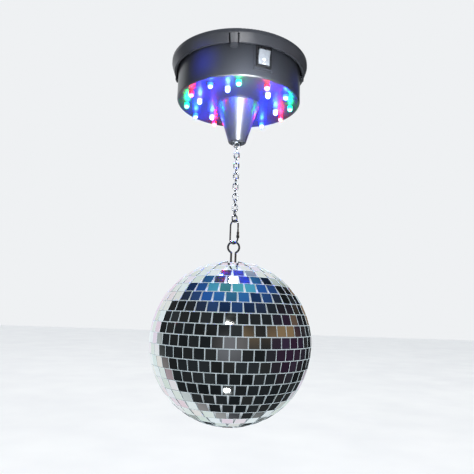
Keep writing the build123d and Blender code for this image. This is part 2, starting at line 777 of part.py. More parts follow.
with BuildPart() as ball_plug:
    with BuildSketch(Plane.XY.offset(seat_top)):
        Circle(plug_r)
    extrude(amount=lip_t)
    with BuildSketch(Plane.XY.offset(plug_bottom)):
        Circle(plug_body_r)
    extrude(amount=seat_top - plug_bottom)
    with BuildSketch(Plane.XY.offset(leg_bottom)):
        with Locations((-leg_x, 0), (leg_x, 0)):
            Circle(ring_wire / 2)
    extrude(amount=lip_top - leg_bottom, mode=Mode.SUBTRACT)
    fillet(ball_plug.edges().filter_by(GeomType.CIRCLE).sort_by(Axis.Z)[-3:].sort_by(SortBy.RADIUS)[-1], 0.5)
save(ball_plug, "ball_plug")

with BuildPart() as plug_retainer:
    with BuildSketch(Plane.XY.offset(seat_bottom - 2.5)):
        RegularPolygon(12.5, 6)
        Circle(plug_body_r, mode=Mode.SUBTRACT)
    extrude(amount=2.5)
save(plug_retainer, "plug_retainer")

lip_inner = core_r - 2 * core_wall
with BuildPart() as ball_core_upper:
    with Locations((0, 0, ball_z)):
        Sphere(core_r, arc_size1=0, align=None)
        Sphere(core_r - core_wall, arc_size1=0, align=None, mode=Mode.SUBTRACT)
    with BuildSketch(Plane.XY.offset(seat_bottom)):
        Circle(plug_r + 1.0)
    extrude(amount=seat_top - seat_bottom)
    with BuildSketch(Plane.XY.offset(seat_top)):
        Circle(plug_r + 4.0)
    extrude(amount=4.0, mode=Mode.SUBTRACT)
    with BuildSketch(Plane.XY.offset(seat_bottom)):
        Circle(plug_body_r)
    extrude(amount=8.0, mode=Mode.SUBTRACT)
save(ball_core_upper, "ball_core_upper")

with BuildPart() as ball_core_lower:
    with Locations((0, 0, ball_z)):
        Sphere(core_r, arc_size2=0, align=None)
        Sphere(core_r - core_wall, arc_size2=0, align=None, mode=Mode.SUBTRACT)
    with BuildSketch(Plane.XY.offset(ball_z - 3.0)):
        Circle(core_r - core_wall - 0.1)
        Circle(lip_inner, mode=Mode.SUBTRACT)
    extrude(amount=6.0)
save(ball_core_lower, "ball_core_lower")


# ---------------------------------------------------------------- mirror tiles
def tile_edges(latitude):
    """For a tile's back: its polar edge's radius about the axis, and the angles
    from the pole to the middle of that edge and to the two corners away from it."""
    lean = radians(latitude)
    half = tile_size / 2
    polar_r = core_r * cos(lean) - half * sin(lean)
    edge = acos((core_r * sin(lean) + half * cos(lean)) / sqrt(core_r**2 + half**2))
    corner = acos((core_r * sin(lean) - half * cos(lean)) / sqrt(core_r**2 + 2 * half**2))
    return polar_r, degrees(edge), degrees(corner)


def row_latitudes(first, clear_r):
    """Row middles from the equator to a pole. Near the pole the rows spread a
    little, so that the corners of one row stay off the straight edges of the next."""
    rows = [first]
    while True:
        latitude = rows[-1] + row_pitch
        limit = tile_edges(rows[-1])[1]
        while tile_edges(latitude)[2] > limit - row_clear:
            latitude += 0.05
        if tile_edges(latitude)[0] < clear_r:
            return rows
        rows.append(latitude)


def tile_places(side, row, latitude):
    """Planes at the middle of each tile in a row, facing straight out."""
    count = floor(pi / atan((tile_size / 2 + tile_clear) / tile_edges(latitude)[0]))
    places = []
    for k in range(count):
        azimuth = -90.0 + 360.0 * (k + 0.5 * (row % 2)) / count
        out = polar(cos(radians(latitude)), azimuth, side * sin(radians(latitude)))
        origin = Vector(0, 0, ball_z) + out * (tile_face - tile_t / 2)
        places.append(Plane(origin=origin, x_dir=polar(1.0, azimuth + 90.0), z_dir=out))
    return places


def tile_band(side, rows, name, polar_tile=False):
    """One node of tiles: the rows given as (number, latitude) on one side of the equator."""
    with BuildPart() as band:
        with Locations(*[place for row, lat in rows for place in tile_places(side, row, lat)]):
            Box(tile_size, tile_size, tile_t)
        if polar_tile:
            with Locations((0, 0, ball_z - tile_face + tile_t / 2)):
                Box(tile_size, tile_size, tile_t)
    save(band, name)


upper_rows = list(enumerate(row_latitudes(row_offset + row_pitch / 2, plug_r + 1.0)))
lower_rows = list(enumerate(row_latitudes(-row_offset + row_pitch / 2, tile_size * 0.75), start=1))
tile_band(1, upper_rows[:5], "tiles_upper")
tile_band(1, upper_rows[5:], "tiles_top")
tile_band(-1, lower_rows[:5], "tiles_lower")
tile_band(-1, lower_rows[5:], "tiles_bottom", polar_tile=True)
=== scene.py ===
import json
import math
import random

import bmesh
import bpy
from mathutils import Matrix, Vector


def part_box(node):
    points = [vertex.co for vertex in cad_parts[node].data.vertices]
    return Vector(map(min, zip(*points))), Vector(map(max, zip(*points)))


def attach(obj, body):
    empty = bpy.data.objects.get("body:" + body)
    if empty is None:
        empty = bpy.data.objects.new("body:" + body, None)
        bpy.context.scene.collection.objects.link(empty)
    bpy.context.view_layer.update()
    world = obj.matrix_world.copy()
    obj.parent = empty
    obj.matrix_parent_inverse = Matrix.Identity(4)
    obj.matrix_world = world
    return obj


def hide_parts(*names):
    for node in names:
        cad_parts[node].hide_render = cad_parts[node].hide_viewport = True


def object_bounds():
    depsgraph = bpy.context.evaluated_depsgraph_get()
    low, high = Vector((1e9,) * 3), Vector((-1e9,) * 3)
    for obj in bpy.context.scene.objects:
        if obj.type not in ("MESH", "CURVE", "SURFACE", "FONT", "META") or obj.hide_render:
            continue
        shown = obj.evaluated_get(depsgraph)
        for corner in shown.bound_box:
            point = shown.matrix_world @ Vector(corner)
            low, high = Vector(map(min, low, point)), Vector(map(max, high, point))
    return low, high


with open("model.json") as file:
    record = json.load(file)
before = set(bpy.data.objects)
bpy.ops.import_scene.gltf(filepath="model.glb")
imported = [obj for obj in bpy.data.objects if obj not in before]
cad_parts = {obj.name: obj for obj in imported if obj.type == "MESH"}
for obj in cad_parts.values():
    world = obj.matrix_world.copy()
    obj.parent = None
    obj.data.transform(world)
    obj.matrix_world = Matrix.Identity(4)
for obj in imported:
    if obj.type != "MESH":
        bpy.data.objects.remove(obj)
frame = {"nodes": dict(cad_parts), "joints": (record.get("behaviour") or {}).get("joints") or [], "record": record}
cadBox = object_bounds()
nodes = frame["nodes"]
scene = bpy.context.scene
print("frame loaded:", len(nodes), "nodes")


# small tools

def linearColour(value):
    # an sRGB hex colour, or a number for a grey that is linear already
    if not isinstance(value, str):
        return (value, value, value, 1.0)
    channels = [int(value[i:i + 2], 16) / 255 for i in (1, 3, 5)]
    linear = [c / 12.92 if c <= 0.04045 else ((c + 0.055) / 1.055) ** 2.4 for c in channels]
    return (*linear, 1.0)


def feed(tree, node, inputs):
    # an input takes a value, a hex colour, a socket, or a node, which stands for its first live output
    for key, value in inputs.items():
        if isinstance(value, bpy.types.Node):
            value = next(output for output in value.outputs if output.enabled)
        if isinstance(value, bpy.types.NodeSocket):
            tree.links.new(value, node.inputs[key])
        elif isinstance(value, str):
            node.inputs[key].default_value = linearColour(value)
        else:
            node.inputs[key].default_value = value


def addNode(tree, kind, inputs=None, stops=None, **settings):
    # stops are a ramp's places and colours
    node = tree.nodes.new("ShaderNode" + kind)
    for key, value in settings.items():
        setattr(node, key, value)
    feed(tree, node, inputs or {})
    if stops:
        elements = node.color_ramp.elements
        for element, (place, colour) in ((elements[0], stops[0]), (elements[1], stops[-1])):
            element.position, element.color = place, linearColour(colour)
        for place, colour in stops[1:-1]:
            elements.new(place).color = linearColour(colour)
    return node


def newMaterial(name):
    material = bpy.data.materials.new(name)
    material.use_nodes = True
    tree = material.node_tree
    place = addNode(tree, "TexCoord").outputs["Object"]
    return material, tree, tree.nodes["Principled BSDF"], place


def dress(nodeNames, material):
    for nodeName in nodeNames:
        piece = nodes[nodeName]
        piece.data.materials.clear()
        piece.data.materials.append(material)


def selectOnly(piece):
    if bpy.context.object and bpy.context.object.mode != "OBJECT":
        bpy.ops.object.mode_set(mode="OBJECT")
    bpy.ops.object.select_all(action="DESELECT")
    piece.select_set(True)
    bpy.context.view_layer.objects.active = piece


# materials: every pattern's size is in metres

# ABS from a spark-eroded mould: a grey-black satin gloss, whose fine grain softens reflections.
# The real grain is about 0.1 mm, and is drawn coarser so that it shows.
absGrain = {"ior": 1.54, "cloud": 0.03, "depth": 0.00002, "bump": 0.14}
absLook = {
    "charcoalAbsSatin": {"on": ["housing_shell"], "dark": "#26282d", "light": "#2e3036",
                         "grain": 0.0009, "roughness": (0.26, 0.34)},
    # a lighter, duller moulding
    "charcoalAbsPlate": {"on": ["ceiling_plate"], "dark": "#303237", "light": "#3a3c42",
                         "grain": 0.0009, "roughness": (0.3, 0.42)},
    # drawn smooth, with one long soft highlight
    "charcoalAbsPolished": {"on": ["cone_cover"], "dark": "#26282d", "light": "#2e3036",
                            "grain": 0.0012, "roughness": (0.30, 0.38)},
}


def mouldedAbs(name, look):
    material, tree, shader, place = newMaterial(name)
    cloud = addNode(tree, "TexNoise", {"Vector": place, "Scale": 1 / absGrain["cloud"], "Detail": 1.0})
    grain = addNode(tree, "TexNoise", {"Vector": place, "Scale": 1 / look["grain"], "Detail": 1.0})
    smooth, rough = look["roughness"]
    feed(tree, shader, {
        "IOR": absGrain["ior"],
        "Base Color": addNode(tree, "ValToRGB", {"Fac": cloud},
                              [(0.0, look["dark"]), (1.0, look["light"])]),
        "Roughness": addNode(tree, "ValToRGB", {"Fac": grain}, [(0.0, smooth), (1.0, rough)]),
        "Normal": addNode(tree, "Bump", {"Height": grain, "Distance": absGrain["depth"],
                                         "Strength": absGrain["bump"]})})
    return material


for name, look in absLook.items():
    dress(look["on"], mouldedAbs(name, look))

# silvered float glass: a cool mirror, a little warmer on some tiles, with a faint haze in patches
mirrorLook = {"silver": "#e6eef0", "warm": "#e2dfd6", "haze": 0.004, "roughness": (0.015, 0.06),
              "coat": 0.6, "coatRoughness": 0.02}


def silveredGlass(look):
    material, tree, shader, place = newMaterial("silveredFloatGlass")
    tile = addNode(tree, "Attribute", attribute_name="tileTone").outputs["Fac"]
    haze = addNode(tree, "TexNoise", {"Vector": place, "Scale": 1 / look["haze"], "Detail": 3.0})
    smooth, rough = look["roughness"]
    feed(tree, shader, {
        "Metallic": 1.0, "Coat Weight": look["coat"], "Coat Roughness": look["coatRoughness"],
        "Base Color": addNode(tree, "ValToRGB", {"Fac": tile},
                              [(0.0, look["silver"]), (1.0, look["warm"])]),
        "Roughness": addNode(tree, "ValToRGB", {"Fac": haze}, [(0.3, smooth), (0.7, rough)])})
    return material


# the tiles' ground edges: a frosted white with a faint painted glow, so that the joints read bright. Real grit is
# about 0.1 mm, and is drawn coarser so that it shows.
edgeGlassLook = {"ior": 1.52, "coat": 0.5, "grit": 0.0008, "dark": "#cfe6ee", "light": "#f2fbff",
                 "roughness": (0.25, 0.5), "paintedGlow": 0.16}


def groundGlassEdge(look):
    material, tree, shader, place = newMaterial("groundGlassEdge")
    grit = addNode(tree, "TexNoise", {"Vector": place, "Scale": 1 / look["grit"], "Detail": 2.0})
    smooth, rough = look["roughness"]
    feed(tree, shader, {
        "IOR": look["ior"], "Coat Weight": look["coat"],
        # the emission is a painted glow on the edges, which are no lamp
        "Emission Color": look["light"], "Emission Strength": look["paintedGlow"],
        "Base Color": addNode(tree, "ValToRGB", {"Fac": grit},
                              [(0.3, look["dark"]), (0.7, look["light"])]),
        "Roughness": addNode(tree, "ValToRGB", {"Fac": grit}, [(0.3, smooth), (0.7, rough)])})
    return material


# nickel-chrome plate on drawn wire: bright, with faint draw lines and duller hollows
wireLook = {"tint": "#bcc0c6", "hollow": "#7c8086", "mottle": 0.0012, "roughness": (0.14, 0.28),
            "drawLines": 0.0005, "depth": 0.00001, "bump": 0.3}


def platedWire(look):
    material, tree, shader, place = newMaterial("nickelPlatedWire")
    mottle = addNode(tree, "TexNoise", {"Vector": place, "Scale": 1 / look["mottle"], "Detail": 3.0})
    lines = addNode(tree, "TexNoise", {"Vector": place, "Scale": 1 / look["drawLines"], "Detail": 2.0})
    smooth, rough = look["roughness"]
    feed(tree, shader, {
        "Metallic": 1.0,
        "Base Color": addNode(tree, "ValToRGB", {"Fac": mottle},
                              [(0.25, look["hollow"]), (0.6, look["tint"])]),
        "Roughness": addNode(tree, "ValToRGB", {"Fac": mottle}, [(0.3, smooth), (0.7, rough)]),
        "Normal": addNode(tree, "Bump", {"Height": lines, "Distance": look["depth"],
                                         "Strength": look["bump"]})})
    return material


links = [nodeName for nodeName in nodes if nodeName.startswith("chain_link")]
dress(links + ["hook_eye", "snap_link", "snap_gate", "gate_pin", "wire_eye", "cell_contacts"],
      platedWire(wireLook))

# plain moulded, turned or printed stock: grain is the size of its blotches
stockLook = {
    # a soft grey metal with a slight mottle
    "zincPlatedSteel": {"dark": "#8b8d8f", "light": "#b4b6b8", "metallic": 1.0,
                        "roughness": (0.25, 0.4), "grain": 0.003,
                        "on": ["cone_screws", "gearbox_screws", "gear_axles", "board_screws",
                               "lamp_legs", "motor_can", "motor_shaft", "output_shaft"]},
    # yellow and shiny, with duller bands from the tool
    "turnedBrass": {"dark": "#a5843f", "light": "#caa85c", "metallic": 1.0,
                    "roughness": (0.2, 0.35), "grain": 0.003,
                    "on": ["motor_pinion", "switch_terminals"]},
    # milky and waxy
    "whiteAcetal": {"dark": "#dcdbd4", "light": "#efeee8", "metallic": 0.0,
                    "roughness": (0.3, 0.5), "grain": 0.003,
                    "on": ["gearbox_base", "gearbox_lid", "first_gear", "second_gear", "output_gear"]},
    # near black, with a low sheen
    "blackNylonMoulded": {"dark": "#131416", "light": "#1e1f22", "metallic": 0.0,
                          "roughness": (0.25, 0.4), "grain": 0.002,
                          "on": ["shaft_bush", "motor_cap", "battery_tray", "ball_plug",
                                 "plug_retainer", "switch_body"]},
    # a mid grey, lighter than the dark plastic: a painted sheen in place of its reflection; satin to the touch
    "rockerGreyPaintedSheen": {"dark": "#6a6e74", "light": "#787c82", "metallic": 0.0,
                                "roughness": (0.36, 0.46), "grain": 0.002, "on": ["switch_rocker"]},
    # flat white, with a slight tooth
    "whitePadInk": {"dark": "#f1f2f2", "light": "#ffffff", "metallic": 0.0,
                    "roughness": (0.4, 0.5), "grain": 0.001, "on": []},
    # deep glossy green
    "greenSolderMask": {"dark": "#0d4a22", "light": "#17662f", "metallic": 0.0,
                        "roughness": (0.2, 0.3), "grain": 0.003, "on": ["lamp_board"]},
    # dark glossy film in broad patches
    "printedCellFilm": {"dark": "#20242f", "light": "#39415a", "metallic": 0.0,
                        "roughness": (0.2, 0.3), "grain": 0.01, "on": ["battery_cells"]},
    # soft red plastic
    "redPvcInsulation": {"dark": "#8f1613", "light": "#b3221d", "metallic": 0.0,
                         "roughness": (0.35, 0.5), "grain": 0.003,
                         "on": ["battery_wires", "motor_wires"]},
    # matt white moulding under the tiles
    "whiteStyreneShell": {"dark": "#e8ebee", "light": "#fbfdff", "metallic": 0.0,
                          "roughness": (0.5, 0.7), "grain": 0.002,
                          "on": ["ball_core_upper", "ball_core_lower"]},
    # smooth pale paper, barely clouded
    "palePaper": {"dark": "#f8f9fa", "light": "#feffff", "metallic": 0.0,
                  "roughness": (0.7, 0.9), "grain": 0.3, "on": []},
}
toolMarks = {"finer": 6, "depth": 0.00001, "bump": 0.25}


def stockMaterial(name, look):
    material, tree, shader, place = newMaterial(name)
    scale = 1 / look["grain"]
    mottle = addNode(tree, "TexNoise", {"Vector": place, "Scale": scale, "Detail": 3.0})
    marks = addNode(tree, "TexNoise", {"Vector": place, "Scale": scale * toolMarks["finer"],
                                       "Detail": 1.0})
    smooth, rough = look["roughness"]
    feed(tree, shader, {
        "Metallic": look["metallic"],
        "Base Color": addNode(tree, "ValToRGB", {"Fac": mottle},
                              [(0.3, look["dark"]), (0.7, look["light"])]),
        "Roughness": addNode(tree, "ValToRGB", {"Fac": mottle}, [(0.3, smooth), (0.7, rough)]),
        "Normal": addNode(tree, "Bump", {"Height": marks, "Distance": toolMarks["depth"],
                                         "Strength": toolMarks["bump"]})})
    return material


stock = {}
for name, look in stockLook.items():
    stock[name] = stockMaterial(name, look)
    dress(look["on"], stock[name])

# lamps: clear epoxy, white at the dome and tinted lower down the body

lampLook = {
    "red_lamps": {"core": "#ffc4c8", "body": "#ff2236", "glow": "#ff1c30", "strength": 1.6,
                  "watts": 0.030},
    "green_lamps": {"core": "#bdffdd", "body": "#10e884", "glow": "#00f070", "strength": 1.5,
                    "watts": 0.030},
    "blue_lamps": {"core": "#cfe4ff", "body": "#2a5cff", "glow": "#0a24ff", "strength": 1.7,
                   "watts": 0.14},
    "white_lamps": {"core": "#ffffff", "body": "#8fa4ff", "glow": "#1a34ff", "strength": 1.15,
                    "watts": 0.10},
}
epoxyLook = {"ior": 1.5, "roughness": 0.12, "height": 0.0076, "tinted": 0.38}


def litEpoxy(name, look, tip):
    material, tree, shader, place = newMaterial(name)
    height = addNode(tree, "SeparateXYZ", {"Vector": place}).outputs["Z"]
    reach = addNode(tree, "MapRange", {"Value": height, "From Min": tip,
                                       "From Max": tip + epoxyLook["height"]})
    glow = addNode(tree, "ValToRGB", {"Fac": reach}, [
        (0.0, look["core"]), (epoxyLook["tinted"], look["body"]), (1.0, look["body"])])
    feed(tree, shader, {"IOR": epoxyLook["ior"], "Roughness": epoxyLook["roughness"],
                        "Base Color": glow, "Emission Color": glow,
                        "Emission Strength": look["strength"]})
    return material


for nodeName, look in lampLook.items():
    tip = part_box(nodeName)[0][2]
    dress([nodeName], litEpoxy(nodeName.replace("_lamps", "LitEpoxy"), look, tip))
print("materials made")

# finer edges: a welded copy of a moulded node with its sharp edges rounded. Walls further from
# the centre line than wallsFrom shade as turned ones.

edgeLook = {
    "ceiling_plate": {"name": "ceilingPlateMoulding", "radius": 0.0004, "slot": "charcoal_abs",
                      "wallsFrom": 0.05},
    "housing_shell": {"name": "housingMoulding", "radius": 0.0003, "slot": "charcoal_abs",
                      "wallsFrom": 0.05},
    "switch_body": {"name": "switchBezel", "radius": 0.00035, "slot": "black_plastic",
                    "wallsFrom": None},
    "switch_rocker": {"name": "switchRockerCap", "radius": 0.0004, "slot": "grey_rocker",
                      "wallsFrom": None},
}
weldLook = {"merge": 0.000002, "flatAngle": 0.5, "sharpAngle": 35, "segments": 2}


def weldedCopy(nodeName, name):
    piece = nodes[nodeName].copy()
    piece.data = nodes[nodeName].data.copy()
    piece.name = piece.data.name = name
    piece.parent = None
    scene.collection.objects.link(piece)
    selectOnly(piece)
    bpy.ops.object.mode_set(mode="EDIT")
    bpy.ops.mesh.select_all(action="SELECT")
    bpy.ops.mesh.remove_doubles(threshold=weldLook["merge"])
    bpy.ops.mesh.dissolve_limited(angle_limit=math.radians(weldLook["flatAngle"]))
    bpy.ops.object.mode_set(mode="OBJECT")
    return piece


def turnedNormals(mesh, wallsFrom):
    # level faces shade flat, and the walls shade round about the centre line
    level, square = 0.999, 0.05
    shading = [Vector(corner.vector) for corner in mesh.corner_normals]
    for face in mesh.polygons:
        out = Vector((face.center.x, face.center.y, 0))
        across = Vector((-out.y, out.x, 0)).normalized()
        if abs(face.normal.z) > level:
            for loop in face.loop_indices:
                shading[loop] = face.normal.copy()
        elif out.length > wallsFrom and abs(face.normal.dot(across)) < square:
            lean = face.normal.dot(out.normalized())
            for loop in face.loop_indices:
                place = mesh.vertices[mesh.loops[loop].vertex_index].co
                outward = Vector((place.x, place.y, 0)).normalized() * lean
                shading[loop] = Vector((outward.x, outward.y, face.normal.z)).normalized()
    mesh.normals_split_custom_set(shading)


def bodyOf(nodeName):
    for body, held in frame["record"]["behaviour"]["bodies"].items():
        if nodeName in held:
            return body


for nodeName, look in edgeLook.items():
    piece = weldedCopy(nodeName, look["name"])
    bevel = piece.modifiers.new("edge", "BEVEL")
    bevel.width = look["radius"]
    bevel.segments = weldLook["segments"]
    bevel.limit_method = "ANGLE"
    bevel.angle_limit = math.radians(weldLook["sharpAngle"])
    bpy.ops.object.modifier_apply(modifier="edge")
    bpy.ops.object.shade_smooth_by_angle(angle=math.radians(weldLook["sharpAngle"]))
    if look["wallsFrom"]:
        turnedNormals(piece.data, look["wallsFrom"])
    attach(piece, bodyOf(nodeName))
    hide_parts(nodeName)
print("mouldings edged")

# mirror tiles: each is chamfered, and set by hand, so none sits quite square

tileLook = {"chamfer": 0.00017, "tilt": 0.45, "sink": 0.00004, "seed": 7}
silver = silveredGlass(mirrorLook)
groundEdge = groundGlassEdge(edgeGlassLook)
dice = random.Random(tileLook["seed"])


def chamferTiles(piece):
    piece.data.materials.clear()
    piece.data.materials.append(silver)
    piece.data.materials.append(groundEdge)
    bpy.ops.object.mode_set(mode="EDIT")
    bpy.ops.mesh.select_all(action="SELECT")
    bpy.ops.mesh.customdata_custom_splitnormals_clear()
    bpy.ops.mesh.bevel(offset=tileLook["chamfer"], segments=1, affect="EDGES", material=1)
    bpy.ops.mesh.select_all(action="SELECT")
    bpy.ops.mesh.faces_shade_flat()
    bpy.ops.mesh.mark_sharp(clear=True)
    bpy.ops.object.mode_set(mode="OBJECT")


def separateTiles(work):
    # the corners of each tile, tile by tile
    seen = set()
    for start in work.verts:
        if start.index in seen:
            continue
        tile, front = [], [start]
        seen.add(start.index)
        while front:
            vert = front.pop()
            tile.append(vert)
            for edge in vert.link_edges:
                other = edge.other_vert(vert)
                if other.index not in seen:
                    seen.add(other.index)
                    front.append(other)
        yield tile


def setTiles(nodeName, name):
    piece = weldedCopy(nodeName, name)
    chamferTiles(piece)
    mesh = piece.data
    work = bmesh.new()
    work.from_mesh(mesh)
    work.verts.ensure_lookup_table()
    tone = {}
    middle = Vector((0, 0, ballMiddle))
    lean = math.radians(tileLook["tilt"])
    for tile in separateTiles(work):
        centre = sum((vert.co for vert in tile), Vector()) / len(tile)
        out = (centre - middle).normalized()
        side = out.orthogonal().normalized()
        turn = (Matrix.Rotation(dice.gauss(0, lean), 3, side)
                @ Matrix.Rotation(dice.gauss(0, lean), 3, out.cross(side)))
        shift = out * dice.uniform(-tileLook["sink"], 0)
        shade = dice.random()
        for vert in tile:
            vert.co = centre + turn @ (vert.co - centre) + shift
            tone[vert.index] = shade
    work.to_mesh(mesh)
    work.free()
    attribute = mesh.attributes.new("tileTone", "FLOAT", "POINT")
    for index, shade in tone.items():
        attribute.data[index].value = shade
    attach(piece, "ball")
    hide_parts(nodeName)


coreLow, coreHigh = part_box("ball_core_lower")
ballMiddle = coreLow[2] + (coreHigh[0] - coreLow[0]) / 2
for band in ("top", "upper", "lower", "bottom"):
    setTiles("tiles_" + band, "mirrorTiles" + band.capitalize())
print("tiles set")

# on and off marks, printed proud on the rocker: places are shares of the lower face's length

markLook = {"ring": 0.0013, "ringLine": 0.00048, "ringSides": 40, "ringPlace": 0.30,
            "bar": 0.0026, "barLine": 0.00072, "barCorner": 0.0002, "barPlace": 0.86,
            "proud": 0.00008}
faceFilter = {"outward": 0.8, "area": 0.00001}  # leaves out the cap's sides and the pivot's small faces


def rockerFace():
    # the lower of the cap's two faces: where it starts, its directions and its length
    mesh = nodes["switch_rocker"].data
    hinge = next(joint for joint in frame["joints"] if joint["name"] == "switch_rock")
    pivot, along = Vector(hinge["pos_m"]), Vector(hinge["axis"]).normalized()
    out = Vector((pivot.x, pivot.y, 0)).normalized()
    faces = [face for face in mesh.polygons
             if face.normal.dot(out) > faceFilter["outward"] and face.center.z < pivot.z
             and face.area > faceFilter["area"]]
    normal = sum((face.normal * face.area for face in faces), Vector()).normalized()
    corners = [mesh.vertices[i].co for face in faces for i in face.vertices]
    top = max(corners, key=lambda corner: corner.z)
    low = min(corners, key=lambda corner: corner.z)
    down = along.cross(normal).normalized()
    if down.z > 0:
        down = -down
    start = pivot + (top - pivot).dot(down) * down + (top - pivot).dot(normal) * normal
    return start, down, normal, along, (low - top).dot(down)


faceTop, faceDown, faceNormal, faceAlong, faceLength = rockerFace()


def printMark(piece, name, place):
    # the mark is drawn flat at the world origin, given its thickness, then carried onto the cap
    bpy.ops.mesh.select_all(action="SELECT")
    bpy.ops.mesh.extrude_region_move(TRANSFORM_OT_translate={"value": (0, 0, markLook["proud"])})
    bpy.ops.mesh.select_all(action="SELECT")
    bpy.ops.mesh.normals_make_consistent(inside=False)
    bpy.ops.object.mode_set(mode="OBJECT")
    turn = Matrix((faceAlong, -faceDown, faceNormal)).transposed().to_4x4()
    if turn.determinant() < 0:
        turn = Matrix((-faceAlong, -faceDown, faceNormal)).transposed().to_4x4()
    piece.name = name
    piece.data.transform(Matrix.Translation(faceTop + faceDown * faceLength * place) @ turn)
    piece.data.materials.append(stock["whitePadInk"])
    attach(piece, "rocker")


bpy.ops.object.select_all(action="DESELECT")
bpy.ops.mesh.primitive_circle_add(vertices=markLook["ringSides"], radius=markLook["ring"],
                                  fill_type="NGON")
bpy.ops.object.mode_set(mode="EDIT")
bpy.ops.mesh.select_all(action="SELECT")
bpy.ops.mesh.inset(thickness=markLook["ringLine"])
bpy.ops.mesh.delete(type="FACE")  # the middle is still selected
printMark(bpy.context.object, "offMark", markLook["ringPlace"])

bpy.ops.object.select_all(action="DESELECT")
bpy.ops.mesh.primitive_plane_add(size=1.0)
bpy.ops.object.mode_set(mode="EDIT")
bpy.ops.transform.resize(value=(markLook["bar"], markLook["barLine"], 1))
bpy.ops.mesh.bevel(offset=markLook["barCorner"], segments=3, affect="VERTICES")
printMark(bpy.context.object, "onMark", markLook["barPlace"])
print("marks printed")

# stage

stageLook = {"floorDrop": 0.42, "width": 24.0}
floorZ = cadBox[0][2] - stageLook["floorDrop"]
bpy.ops.object.select_all(action="DESELECT")
bpy.ops.mesh.primitive_plane_add(size=stageLook["width"], location=(0, 0, floorZ))
floor = bpy.context.object
floor.name = "paleFloor"
bpy.ops.object.transform_apply(location=True, scale=True)
floor.visible_glossy = False
floor.data.materials.append(stock["palePaper"])

# the world is a plain pale studio, and the mirrors see a room of their own: a dim front, blue
# light above, a warm patch and plum to the right, and a bright screen behind that reaches
# further round on the left and below. Each patch is a product of fades along a direction, where
# a fade goes from nothing at its first number to full at its second.

roomLook = {"studio": "#eff1f3", "dim": "#1a1d20", "grey": "#34373a", "warm": "#8a7256",
            "blue": "#2b5fb0", "cyan": "#58b4cc", "plum": "#3a2540", "near": "#77777c",
            "screen": "#f2f7fa", "greenScreen": "#dcebe6", "pinkScreen": "#f0dff0",
            "patchScale": 3.0, "warmHeight": 0.2, "plumShare": 0.7,
            "skew": -0.41, "under": -0.45, "overhead": 0.4, "screenEdge": (0.71, 0.89)}
roomPatches = {
    "plum": [("across", 0.75, 1.0)],  # far right
    "warm": [("across", 0.25, 0.4), ("strip", 0.2, 0.08), ("mottle", 0.46, 0.6)],  # level, right
    "sky": [("up", 0.62, 0.92), ("mottle", 0.2, 0.55)],
    "skyTop": [("up", 0.85, 0.99)],  # where blue turns to cyan
    "near": [("deep", -0.94, -0.975)],  # straight in front
    "overhead": [("up", 0.3, 0.6), ("deep", 0.3, 0.5)],  # adds to the screen, high behind
    # takes the screen away low behind the middle
    "hush": [("up", -0.10, -0.22), ("up", -0.66, -0.5), ("deep", 0.6, 0.75), ("side", 0.3, 0.16)],
}
world = bpy.data.worlds.new("studio")
scene.world = world
world.use_nodes = True
tree = world.node_tree
ray = addNode(tree, "LightPath").outputs
way = addNode(tree, "TexCoord").outputs["Generated"]
axes = addNode(tree, "SeparateXYZ", {"Vector": way}).outputs
across, deep, up = axes["X"], axes["Y"], axes["Z"]
mottle = addNode(tree, "TexNoise", {"Vector": way, "Scale": roomLook["patchScale"], "Detail": 1.0})
strip = addNode(tree, "Math", {0: up, 1: roomLook["warmHeight"]}, operation="SUBTRACT")
readings = {"across": across, "deep": deep, "up": up, "mottle": mottle,
            "strip": addNode(tree, "Math", {0: strip}, operation="ABSOLUTE"),
            "side": addNode(tree, "Math", {0: across}, operation="ABSOLUTE")}
patch = {}
for name, fades in roomPatches.items():
    for reading, start, end in fades:
        fade = addNode(tree, "MapRange", {"Value": readings[reading], "From Min": start,
                                          "From Max": end}, interpolation_type="SMOOTHSTEP")
        patch[name] = (addNode(tree, "Math", {0: patch[name], 1: fade}, operation="MULTIPLY")
                       if name in patch else fade)
patch["plum"] = addNode(tree, "Math", {0: patch["plum"], 1: roomLook["plumShare"]},
                        operation="MULTIPLY")

sky = addNode(tree, "Mix", {0: patch["skyTop"], 6: roomLook["blue"], 7: roomLook["cyan"]},
              data_type="RGBA")
room = addNode(tree, "ValToRGB", {"Fac": mottle}, [(0.35, roomLook["dim"]), (0.7, roomLook["grey"])])
for name, colour in (("plum", roomLook["plum"]), ("warm", roomLook["warm"]), ("sky", sky),
                     ("near", roomLook["near"])):
    room = addNode(tree, "Mix", {0: patch[name], 6: room, 7: colour}, data_type="RGBA")

# how far each direction lies inside the screen
below = addNode(tree, "Math", {0: up, 1: 0.0}, operation="MINIMUM")
reach = deep
for reading, share in ((across, roomLook["skew"]), (below, roomLook["under"]),
                       (patch["overhead"], roomLook["overhead"])):
    reach = addNode(tree, "Math", {0: reading, 1: share, 2: reach}, operation="MULTIPLY_ADD")
edgeStart, edgeEnd = roomLook["screenEdge"]
reach = addNode(tree, "MapRange", {"Value": reach, "From Min": edgeStart, "From Max": edgeEnd},
                interpolation_type="SMOOTHSTEP")
loud = addNode(tree, "Math", {0: 1.0, 1: patch["hush"]}, operation="SUBTRACT")
reach = addNode(tree, "Math", {0: reach, 1: loud}, operation="MULTIPLY")
screen = addNode(tree, "ValToRGB", {"Fac": mottle}, [
    (0.34, roomLook["greenScreen"]), (0.5, roomLook["screen"]), (0.68, roomLook["pinkScreen"])])
mirrored = addNode(tree, "Mix", {0: reach, 6: room, 7: screen}, data_type="RGBA")
plain = addNode(tree, "Math", {0: ray["Is Camera Ray"], 1: ray["Is Diffuse Ray"]},
                operation="MAXIMUM")
shown = addNode(tree, "Mix", {0: plain, 6: mirrored, 7: roomLook["studio"]}, data_type="RGBA")
feed(tree, tree.nodes["Background"], {"Color": shown, "Strength": 1.0})
print("stage set")

# lights: an area light has a size, a spot has an angle, and a point light has neither

